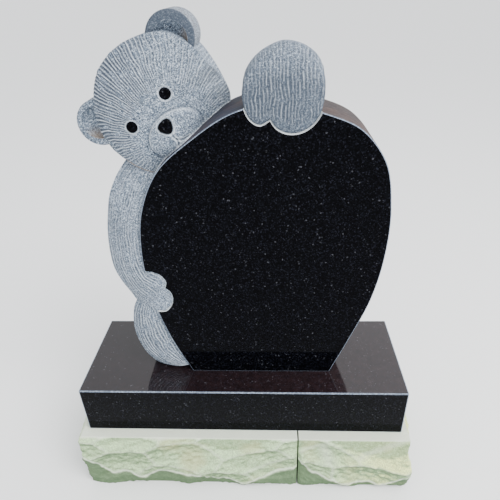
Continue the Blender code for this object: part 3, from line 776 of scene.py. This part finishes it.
def dome(name, spot, radius_at, proud, material, sunk):
    """A polished boss: radius_at gives its outline by angle in the face's own axes.

    proud is how far it stands out of its seat, which is sunk into the face.
    """
    x0, z0 = place(*spot)
    seat = float(face_front(np.array(x0), np.array(z0))) + sunk
    turn = np.linspace(0, math.tau, 64, endpoint=False)
    loops = []
    for lift in np.linspace(math.pi / 2, 0, 12):
        reach = radius_at(turn) * max(0.02, math.cos(lift))
        along, upward = reach * np.cos(turn), reach * np.sin(turn)
        x = x0 + along * math.cos(FACE_LEAN) - upward * math.sin(FACE_LEAN)
        z = z0 + along * math.sin(FACE_LEAN) + upward * math.cos(FACE_LEAN)
        y = seat - proud * math.sin(lift) + 0 * x
        loops.append(np.stack([x, y, z], axis=-1))
    loops.append(loops[-1] + np.array([0, 0.012, 0]))
    return settle(grid_mesh(name, np.array(loops), material), "black_granite")


def make_features(material):
    """Two eyes and the nose, left polished."""
    for name, spot in (("Right_eye", RIGHT_EYE), ("Left_eye", LEFT_EYE)):
        dome(name, spot, lambda turn: EYE_RADIUS + 0 * turn, EYE_PROUD, material, 0.0015)
    dome("Nose", NOSE, lambda turn: NOSE_WIDTH / 2 * nose_shape(turn), NOSE_PROUD, material,
         0.001)


def make_ear(name, spot, shift, material, seed, shade):
    """A thick disc through the slab with a flat front ring and a bowl, off its middle.

    shade gives how dark the bowl, the ring and the outer wall are.
    """
    x0, z0 = place(*spot)
    front = SLAB_FRONT + EAR_SETBACK
    back = SLAB_BACK - EAR_BACK_INSET
    profile = [(0.02, front + EAR_BOWL_DEPTH, 1.0, 0)]
    for t in np.sin(np.linspace(0.05, math.pi / 2, 34)):
        deep = front + EAR_BOWL_DEPTH * (1 - t**4)**0.6
        profile.append((EAR_BOWL_RADIUS * t, deep, 1.0, 0))
    lip = EAR_BOWL_RADIUS + 0.0015
    profile += [(lip - 0.001, front + 0.0002, 0.9, 1), (lip, front, 0.8, 1)]
    ring = EAR_RADIUS - EAR_ROUNDING
    for t in np.linspace(0.15, 0.85, 6):
        profile.append((lip + (ring - lip) * t, front, 0.8 * (1 - t), 1))
    for turn in np.linspace(0, math.pi / 2, 8):
        profile.append((ring + EAR_ROUNDING * math.sin(turn),
                        front + EAR_ROUNDING * (1 - math.cos(turn)), 0.0, 1))
    for t in np.linspace(0, 1, 26)[1:]:
        y = front + EAR_ROUNDING + (back - EDGE_ROUNDING - front - EAR_ROUNDING) * t
        profile.append((EAR_RADIUS, y, 0.0, 2))
    for turn in np.linspace(0, math.pi / 2, 6)[1:]:
        profile.append((EAR_RADIUS - EDGE_ROUNDING * (1 - math.cos(turn)),
                        back - EDGE_ROUNDING * (1 - math.sin(turn)), 0.0, 2))
    turn = np.linspace(0, math.tau, 220, endpoint=False)
    points, soil, dark = [], [], []
    for radius, y, moved, part in profile:
        x = x0 + shift[0] * moved + radius * np.cos(turn)
        z = z0 + shift[1] * moved + radius * np.sin(turn)
        points.append(np.stack([x, y + 0 * x, z], axis=-1))
        low = ramp(radius + 0 * x, 0.3 * EAR_BOWL_RADIUS, EAR_BOWL_RADIUS)
        soil.append((0.70 * low * ramp(-np.sin(turn - 0.6), -0.3, 0.7), 0 * x,
                     0.14 + 0 * x)[part])
        dark.append(shade[part] + 0 * x)
    points = np.array(points)
    lumps = rough_noise(points[:, :, 0] * 120 + points[:, :, 1] * 90, points[:, :, 2] * 120, seed)
    points[:, :, 1] += 0.0006 * lumps * (np.array([p[1] for p in profile])[:, None] < back - 0.01)
    tones = {"Soil": np.array(soil), "Groove": np.array(dark)}
    return carve(name, points, material, tones)


def limb(name, outer, inner, profile, lanes, runs, tail, material, seed):
    """A limb between two edges: a domed front with lengthwise strokes, and a flat back.

    profile holds anchors along the limb: how deep its inner edge (near) and its outer edge
    (far) lie behind the slab's front, how high its middle domes (crown), how strong its
    strokes are, and how pale the painted highlight along its inner edge is. Soil lies
    where it starts.
    """
    share = np.linspace(0, 1, len(outer))[:, None]
    near, far, crown, strength, edge = (value_along(profile[key], share) for key in
                                        ("near", "far", "crown", "strength", "edge"))
    t = np.linspace(0, 1, lanes * LINES_PER_STROKE + 1)[None, :]
    inside = ramp(t, 0.0, 0.07) * (1 - ramp(t, 0.93, 1.0))
    lane = lanes * t + 0 * share
    t = t + wander(lane, share, seed, 9) / lanes * inside
    flat = inner[:, None, :] + (outer - inner)[:, None, :] * t[..., None]
    sink = near + (far - near) * t**2.2
    sink = sink - crown * (4 * t * (1 - t))**0.8
    front = np.stack([flat[..., 0], SLAB_FRONT + sink, flat[..., 1]], axis=-1)
    groove, ridge = strokes(lane, share + 0 * t, seed, runs)
    power = strength * inside
    front = front - normals_of(front, False) * (STROKE_DEPTH * 0.8 * groove * power)[..., None]
    # Pale crushed ridges and a painted highlight along the inner edge; the grooves get painted
    # shade.
    tones = {"Ridge": 0.9 * ridge * power + edge * np.exp(-(t / 0.030)**2),
             "Groove": 0.5 * groove * power,
             "Soil": 0.8 * (1 - ramp(share, 0.005, 0.045)) * (0.5 + 0.5 * t)}
    back_t = np.linspace(1, 0, 12)[None, :]
    back_flat = inner[:, None, :] + (outer - inner)[:, None, :] * back_t[..., None]
    back = np.stack([back_flat[..., 0], np.full(back_flat.shape[:2], tail), back_flat[..., 1]],
                    axis=-1)
    walls = []
    for start, end in ((front[:, -1], back[:, 0]), (back[:, -1], front[:, 0])):
        steps = np.linspace(0, 1, 10)[1:-1][None, :, None]
        walls.append(start[:, None, :] * (1 - steps) + end[:, None, :] * steps)
    points = np.concatenate([front, walls[0], back, walls[1]], axis=1)
    return carve(name, points, material, tones)


def make_arm(material):
    """The arm, its wrist and the paw that lies in the tablet's face, as one form."""
    arm, paw = 150, 90
    outer = np.vstack([smooth_run(ARM_OUTER, arm), smooth_run(LOWER_PAW_OUTER, paw)[1:]])
    fingers = joined_runs(LOWER_PAW_INNER, (paw // 2 + 1, paw - paw // 2 + 1))
    inner = np.vstack([smooth_run(ARM_INNER, arm), fingers[1:], outer[-1:]])
    inner = inner[:len(outer)]
    wrist = arm / len(outer)
    recess = LOWER_PAW_RECESS - .0005
    profile = {
        "near": [(0, .060), (.07, .050), (.17, .024), (.26, .009), (wrist, .0075),
                 (wrist + .05, recess), (1, recess)],
        "far": [(0, .080), (.08, .060), (.22, .036), (wrist - .04, .032), (wrist + .08, .026),
                (.90, .0055), (1, .0055)],
        "crown": [(0, .007), (wrist - .1, .007), (wrist + .08, .0095), (.85, .0055), (1, .0048)],
        "strength": [(0, .50), (.3, .55), (.45, .75), (wrist, 1), (.80, .6), (.93, .3), (1, .1)],
        "edge": [(0, .30), (wrist, .5), (wrist + .12, 1), (1, 1)],
    }
    return limb("Bear_arm", outer, inner, profile, ARM_STROKES, 5, SLAB_BACK - ARM_BACK_INSET,
                material, 23)


def make_foot(material):
    """The foot, from under the paw to the tablet's lower corner."""
    outer, inner = smooth_run(FOOT_OUTER, 150), smooth_run(FOOT_INNER, 150)
    profile = {
        "near": [(0, .020), (.2, .012), (1, .010)],
        "far": [(0, .040), (.3, .034), (.8, .016), (1, .011)],
        "crown": [(0, .007), (1, .007)],
        "strength": [(0, .6), (.4, 1), (1, 1)],
        "edge": [(0, .55), (1, .55)],
    }
    return limb("Bear_foot", outer, inner, profile, FOOT_STROKES, 3,
                SLAB_BACK - FOOT_BACK_INSET, material, 37)


def make_upper_paw(material):
    """The paw over the tablet's top: sections that run up the front and down behind."""
    lower = np.vstack([smooth_run(UPPER_PAW_LOWER[0], 90)[:-1],
                       smooth_run(UPPER_PAW_LOWER[1], 150)])
    upper = smooth_run(UPPER_PAW_UPPER, 240)
    left, right = upper[0, 0], upper[-1, 0]
    edge = np.linspace(-1, 1, 241)
    x = left + (right - left) * (0.5 + 0.5 * np.sin(edge * math.pi / 2))
    low = np.interp(x, lower[:, 0], lower[:, 1])
    high = np.interp(x, upper[:, 0], upper[:, 1])
    tall = high - low
    side = 0.020 * (1 - np.sqrt(1 - 0.98 * np.abs(edge)**5))
    profile = [(0, UPPER_PAW_RECESS - .0005), (.01, .0075), (.03, .0055), (.10, .003),
               (.22, .001), (.45, .001), (.62, .003), (.77, .009), (.88, .019), (.96, .034),
               (1.0, .055)]
    back = SLAB_BACK - BACK_INSET
    station = np.concatenate([np.linspace(0, .06, 10)[:-1], np.linspace(.06, .75, 90)[:-1],
                              np.linspace(.75, 1, 40)])
    z = low[:, None] + tall[:, None] * station[None, :]
    heights, sinks = zip(*profile)
    sink = np.interp(station, heights, sinks)
    soft = np.convolve(np.pad(sink, 6, mode="edge"), np.ones(7) / 7, mode="same")[6:-6]
    sink = np.where(station > .08, soft, sink)
    y = SLAB_FRONT + side[:, None] + sink[None, :]
    front = np.stack([x[:, None] + 0 * z, y, z], axis=-1)
    up = station[None, :] + 0 * z
    lane = (x[:, None] - left) / (right - left) * UPPER_PAW_STROKES + 0 * z
    lane = lane + 0.8 * wander(lane, up, 51, 5)
    groove, ridge = strokes(lane, up, 51, 4.2)
    power = ramp(up, .07, .14) * (1 - ramp(np.abs(edge), .9, 1))[:, None]
    power = power * (0.60 + 0.40 * smooth_noise(x[:, None] * 38 + 0 * z, z * 30, 53))
    front = front - normals_of(front, False) * (STROKE_DEPTH * groove * power)[..., None]
    # Painted shade: the paw is painted darker all over, most in its lower part, and left paler near
    # its top, which faces up to the light.
    painted_shade_low = 0.28 + 0.36 * (1 - ramp(up, .55, .95))
    tones = {"Ridge": 0.62 * ridge * power, "Groove": 0.30 * groove * power + painted_shade_low}
    fall = np.minimum(0.04, 0.5 * tall)
    behind = [(back - 0.060, high + 0 * fall), (back - 0.030, high - 0.1 * fall),
              (back - 0.014 - side * 0.5, high - 0.3 * fall),
              (back - 0.008 - side * 0.5, high - 0.5 * fall),
              (back - 0.002 - side * 0.5, high - 0.8 * fall),
              (back - side * 0.5, high - fall), (back - side * 0.5, low + 0.1 * tall),
              (SLAB_FRONT + 0.040 + side, low + 0.05 * tall)]
    rest = np.stack([np.stack([x, y + 0 * x, z], axis=-1) for y, z in behind], axis=1)
    return carve("Bear_upper_paw", np.concatenate([front, rest], axis=1), material, tones)


def upright_slab(name, outline, front, thickness, material):
    """A flat outline in x and z, extruded backwards from its front plane."""
    shape = bmesh.new()
    loop = [shape.verts.new((x, front, z)) for x, z in outline]
    face = shape.faces.new(loop)
    moved = bmesh.ops.extrude_face_region(shape, geom=[face])
    bmesh.ops.translate(shape, vec=(0, thickness, 0),
                        verts=[v for v in moved["geom"] if isinstance(v, bmesh.types.BMVert)])
    bmesh.ops.recalc_face_normals(shape, faces=shape.faces)
    mesh = bpy.data.meshes.new(name)
    shape.to_mesh(mesh)
    shape.free()
    mesh.materials.append(material)
    return add_object(name, mesh)


def grow(outline, distance):
    """Move each point of a loop outwards, along the mean of its sides' normals."""
    before, after = np.roll(outline, 1, axis=0), np.roll(outline, -1, axis=0)
    area = np.sum(before[:, 0] * outline[:, 1] - outline[:, 0] * before[:, 1])
    along = (after - before) / np.linalg.norm(after - before, axis=1, keepdims=True)
    along = along * math.copysign(1, area)
    return outline + distance * np.stack([along[:, 1], -along[:, 0]], axis=1)


def add_arris(piece, width, slot):
    """Ease a piece's sharp edges, which take the material in that slot."""
    bevel = piece.modifiers.new("Arris", "BEVEL")
    bevel.width = width
    bevel.segments = 2
    bevel.limit_method = "ANGLE"
    bevel.angle_limit = math.radians(40)
    bevel.material = slot


def make_tablet(polished, edge, wall, ground, honed):
    """The tablet, polished in front, with recesses cut round the two paws."""
    tablet = upright_slab("Polished_tablet", smooth_run(TABLET_OUTLINE, 300), SLAB_FRONT,
                          SLAB_THICKNESS, polished)
    for material in (edge, ground, honed):
        tablet.data.materials.append(material)
    for face in tablet.data.polygons:
        if abs(face.normal.y) < 0.5:
            face.material_index = 2
        elif face.normal.y > 0.5:
            face.material_index = 3
    add_arris(tablet, TABLET_ARRIS, 1)
    paw = np.vstack([smooth_run(UPPER_PAW_LOWER[0], 50)[:-1], smooth_run(UPPER_PAW_LOWER[1], 80),
                     smooth_run(UPPER_PAW_UPPER, 60)[::-1]])
    cutters = []
    for name, rim, recess in (("Lower_recess", joined_runs(LOWER_PAW, (40, 40, 40)),
                               LOWER_PAW_RECESS),
                              ("Upper_recess", paw, UPPER_PAW_RECESS)):
        cutter = upright_slab(name, grow(rim, PAW_GROOVE), SLAB_FRONT - 0.02, 0.02 + recess, wall)
        cut = tablet.modifiers.new(name, "BOOLEAN")
        cut.object = cutter
        cut.operation = "DIFFERENCE"
        cut.material_mode = "TRANSFER"
        cutters.append(cutter)
    bpy.context.view_layer.update()
    graph = bpy.context.evaluated_depsgraph_get()
    mesh = bpy.data.meshes.new_from_object(tablet.evaluated_get(graph))
    tablet.modifiers.clear()
    tablet.data = mesh
    for cutter in cutters:
        bpy.data.objects.remove(cutter, do_unlink=True)
    mesh.shade_smooth()
    mesh.set_sharp_from_angle(angle=math.radians(20))
    return settle(tablet, "black_granite", "Headstone")


def make_base(side, top, edge):
    """The base: a sawn block whose arrises are eased, each face with its own polish."""
    low, high = (Vector(corner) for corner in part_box("Base"))
    mesh = bpy.data.meshes.new("Polished_base")
    shape = bmesh.new()
    bmesh.ops.create_cube(shape, size=1, matrix=Matrix.Translation((low + high) / 2)
                          @ Matrix.Diagonal((*(high - low), 1)))
    for face in shape.faces:
        face.material_index = 1 if face.normal.z > 0.5 else 0
    shape.to_mesh(mesh)
    shape.free()
    for material in (side, top, edge):
        mesh.materials.append(material)
    base = add_object("Polished_base", mesh)
    add_arris(base, BASE_ARRIS, 2)
    return settle(base, "base_granite", "Base")


def scars(u, v, seed, size):
    """Shallow scoops: how far each point stands out, and 1 on the ridges between them."""
    cells = np.floor(u / size).astype(int), np.floor(v / size).astype(int)
    table = np.random.default_rng(seed).random((SCAR_CELLS, SCAR_CELLS, 3))
    best = np.full(u.shape, 9.0)
    second = best
    for du in (-1, 0, 1):
        for dv in (-1, 0, 1):
            iu, iv = cells[0] + du, cells[1] + dv
            own = table[iu % SCAR_CELLS, iv % SCAR_CELLS]
            cu, cv = (iu + own[..., 0]) * size, (iv + own[..., 1]) * size
            away = ((u - cu)**2 + (v - cv)**2) / size**2 + 0.6 * own[..., 2]
            second = np.minimum(second, np.maximum(best, away))
            best = np.minimum(best, away)
    return best, np.exp(-((second - best) / 0.07)**2)


def footprint(joint, outer, half_depth):
    """The points round a block: x, y, the way each faces, its share of its side, and its side.

    The side at the joint faces nowhere, because it is sawn.
    """
    width, depth = abs(joint - outer), 2 * half_depth
    way = math.copysign(1, outer - joint)
    sides = [("front", width, (joint, -half_depth), (way, 0), (0, -1)),
             ("outer", depth, (outer, -half_depth), (0, 1), (way, 0)),
             ("back", width, (outer, half_depth), (-way, 0), (0, 1)),
             ("joint", depth, (joint, half_depth), (0, -1), (0, 0))]
    columns, kinds = [], []
    for kind, length, start, step, facing in sides:
        for s in np.linspace(0, length, round(length / ROCK_STEP), endpoint=False):
            columns.append((start[0] + step[0] * s, start[1] + step[1] * s, *facing, s / length))
            kinds.append(kind)
    return np.array(columns).T[:, None, :], np.array(kinds)


def make_block(name, node, outer_side, ridge, seed, material):
    """A footing block: columns run round its four sides, and rows from bottom to top."""
    low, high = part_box(node)
    base_low, base_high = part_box("Base")
    half_depth = (base_high.y - base_low.y) / 2 + FRONT_LEDGE
    joint = high.x if outer_side < 0 else low.x
    outer = outer_side * ((base_high.x - base_low.x) / 2 + SIDE_LEDGE)
    (x0, y0, nx, ny, along), kinds = footprint(joint, outer, half_depth)
    rows = np.concatenate([np.linspace(0, .97, 62), [.985, .995, 1.0]])
    height = high.z - low.z
    up = rows[:, None] + 0 * x0
    spread = np.maximum(np.abs(x0 - outer), np.abs(np.abs(y0) - half_depth))
    turn = 1 - ramp(spread, 0, 0.030)
    nx = nx + outer_side * 0.7 * turn * (nx == 0) * (ny != 0)
    ny = ny + np.sign(y0) * 0.7 * turn * (ny == 0) * (nx != 0)
    size = np.maximum(np.hypot(nx, ny), 1e-6)
    nx, ny = nx / size * (size > 0.5), ny / size * (size > 0.5)
    left_to_right = (x0 - min(joint, outer)) / abs(joint - outer)
    crest = np.where(kinds == "outer", value_along([(0, ridge[0 if outer_side < 0 else -1][1]),
                                                    (.5, .35), (1, .5)], along),
                     value_along(ridge, np.where(kinds == "back", 1 - left_to_right,
                                                 left_to_right)))
    crest = crest + 0.05 * smooth_noise(left_to_right * 14 + y0 * 9, 0 * x0, seed)
    over = np.clip((up - crest) / (1 - crest), 0, 1)
    under = np.clip(up / np.maximum(crest, .02), 0, 1)
    body = np.where(up >= crest, 1 - over**1.6, 0.15 + 0.85 * under**0.8)
    run = np.cumsum(np.full(x0.shape, ROCK_STEP), axis=1)
    tilt = run + 0.5 * up * height
    scoops, scoop_ridge = scars(tilt * 0.8, up * height * 1.5, seed, SCOOP_SIZE)
    chips, _ = scars(tilt + .3, up * height * 1.6, seed + 4, CHIP_SIZE)
    grit = rough_noise(tilt * 90, up * height * 90, seed + 2)
    swell = ROCK_BULGE * (0.55 * body + 0.95 * (scoops - .48)) + CHIP_DEPTH * (chips - .4)
    swell = swell + GRIT_DEPTH * grit
    swell = np.maximum(swell, 0.0005) * (1 - ramp(up, 0.975, 1.0))
    away_from_joint = ramp(np.abs(x0 - joint), 0.0, 0.010)
    swell = swell * (0.25 + 0.75 * away_from_joint)
    x = x0 + nx * swell
    y = y0 + ny * swell
    x = np.clip(x, low.x + (0.0005 if outer_side < 0 else 0),
                high.x - (0.0005 if outer_side > 0 else 0))
    y = np.clip(y, cad_low.y + 0.0003, cad_high.y - 0.0003)
    z = low.z + up * height
    points = np.stack([x, y, z + 0 * x], axis=-1)
    top = ramp(up, 0.975, 0.995)
    facing = outer_side * np.cross(np.roll(points, -1, axis=1) - np.roll(points, 1, axis=1),
                                   np.gradient(points, axis=0))
    facing = facing[..., 2] / np.maximum(np.linalg.norm(facing, axis=2), 1e-12)
    split = nx**2 + ny**2 > 0
    # Painted highlight along the crest over the undercut; painted shade under it and on faces that
    # turn down.
    edge = np.exp(-((up - crest) / 0.020)**2) * 0.75
    shade = np.maximum(1 - ramp(up, crest - 0.05, crest), 0.9 * ramp(-facing, 0.05, 0.45))
    # Pale tone: painted highlights on the crest and the scoops' ridges, and the top painted pale,
    # partly as sawn stone and partly as painted light.
    tones = {"Ridge": np.clip(edge + 0.30 * scoop_ridge * (up > crest) + 0.9 * top, 0, 1) * split,
             "Groove": 0.85 * shade * (1 - top) * split,
             "Soil": 0.9 * (1 - split) * (1 - ramp(up, 0.97, 1.0)) + 0 * up}
    piece = grid_mesh(name, points, material, tones)
    # The top face is painted pale, partly as sawn stone and partly as painted light.
    pale = piece.data.attributes["Ridge"].data
    for vertex in piece.data.vertices:
        if vertex.co.z > high.z - SAME_LEVEL:
            pale[vertex.index].value = 0.9
    piece.data.set_sharp_from_angle(angle=math.radians(40))
    return settle(piece, "sandstone", node)


def make_floor():
    """A plain pale floor that reaches the horizon."""
    bpy.ops.mesh.primitive_plane_add(size=400, location=(0, 0, 0))
    floor = bpy.context.object
    floor.name = "Floor"
    material, _, shader = material_nodes("Floor_look")
    shader.inputs["Base Color"].default_value = (0.90, 0.90, 0.895, 1)
    shader.inputs["Roughness"].default_value = 0.95
    shader.inputs["Specular IOR Level"].default_value = 0.1
    floor.data.materials.append(material)


def add_area(name, location, target, size, power):
    """A round soft lamp that points at its target."""
    light = bpy.data.lights.new(name, "AREA")
    light.shape = "DISK"
    light.size = size
    light.energy = power
    lamp = add_object(name, light)
    lamp.location = location
    direction = Vector(target) - Vector(location)
    lamp.rotation_euler = direction.to_track_quat("-Z", "Y").to_euler()


def make_light():
    """A studio sky, brighter from the right, a key lamp at the right and a weak fill."""
    world = bpy.data.worlds.new("Studio")
    world.use_nodes = True
    tree = world.node_tree
    sky = tree.nodes["Background"]
    direction = add_node(tree, "ShaderNodeTexCoord").outputs["Generated"]
    parts = add_node(tree, "ShaderNodeSeparateXYZ", {"Vector": direction})
    tree.links.new(colour_ramp(tree, parts.outputs["Z"], SKY_COLOURS), sky.inputs["Color"])
    from_right = add_node(tree, "ShaderNodeMapRange",
                          {"Value": parts.outputs["X"], "From Min": -1.0, "From Max": 1.0,
                           "To Min": SKY_LEFT, "To Max": SKY_RIGHT})
    tree.links.new(from_right.outputs["Result"], sky.inputs["Strength"])
    bpy.context.scene.world = world
    add_area("Key", (2.2, -1.9, 3.9), (0, 0, 0.8), 2.6, 250)
    add_area("Fill", (-2.8, -2.6, 2.2), (0, 0, 0.6), 2.5, 22)


def make_camera():
    """The photograph's own view: a step away, above the head and looking down at the base."""
    camera = bpy.data.cameras.new("Camera")
    camera.sensor_width = 36.0
    camera.lens = CAMERA_LENS
    eye = add_object("Camera", camera)
    base_low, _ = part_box("Base")
    x, y, z = CAMERA_PLACE
    eye.matrix_world = (Matrix.Translation((x, y, z + base_low.z))
                        @ Matrix.Rotation(math.radians(CAMERA_PAN), 4, "Z")
                        @ Matrix.Rotation(math.radians(CAMERA_TILT), 4, "X")
                        @ Matrix.Rotation(math.radians(CAMERA_ROLL), 4, "Y")
                        @ Matrix.Rotation(math.pi / 2, 4, "X"))
    bpy.context.scene.camera = eye


make_camera()
make_light()
make_floor()
granite = carved_granite()
wall = bruised_granite()
polish = polished_granite()
make_head(granite)
make_features(polish)
make_ear("Bear_top_ear", TOP_EAR, (0.0, -0.004), granite, 5, (0.34, 0.86, 0.10))
make_ear("Bear_side_ear", SIDE_EAR, (-0.003, 0.001), granite, 9, (0.18, 0.20, 0.15))
make_arm(granite)
make_foot(granite)
make_upper_paw(granite)
arris = arris_granite()
make_tablet(polish, arris, wall, ground_granite(), honed_granite())
make_base(base_side_granite(), base_top_granite(), arris)
stone = sandstone()
make_block("Rock_block_left", "Footing_block_left", -1, LEFT_RIDGE, 3, stone)
make_block("Rock_block_right", "Footing_block_right", 1, RIGHT_RIDGE, 8, stone)
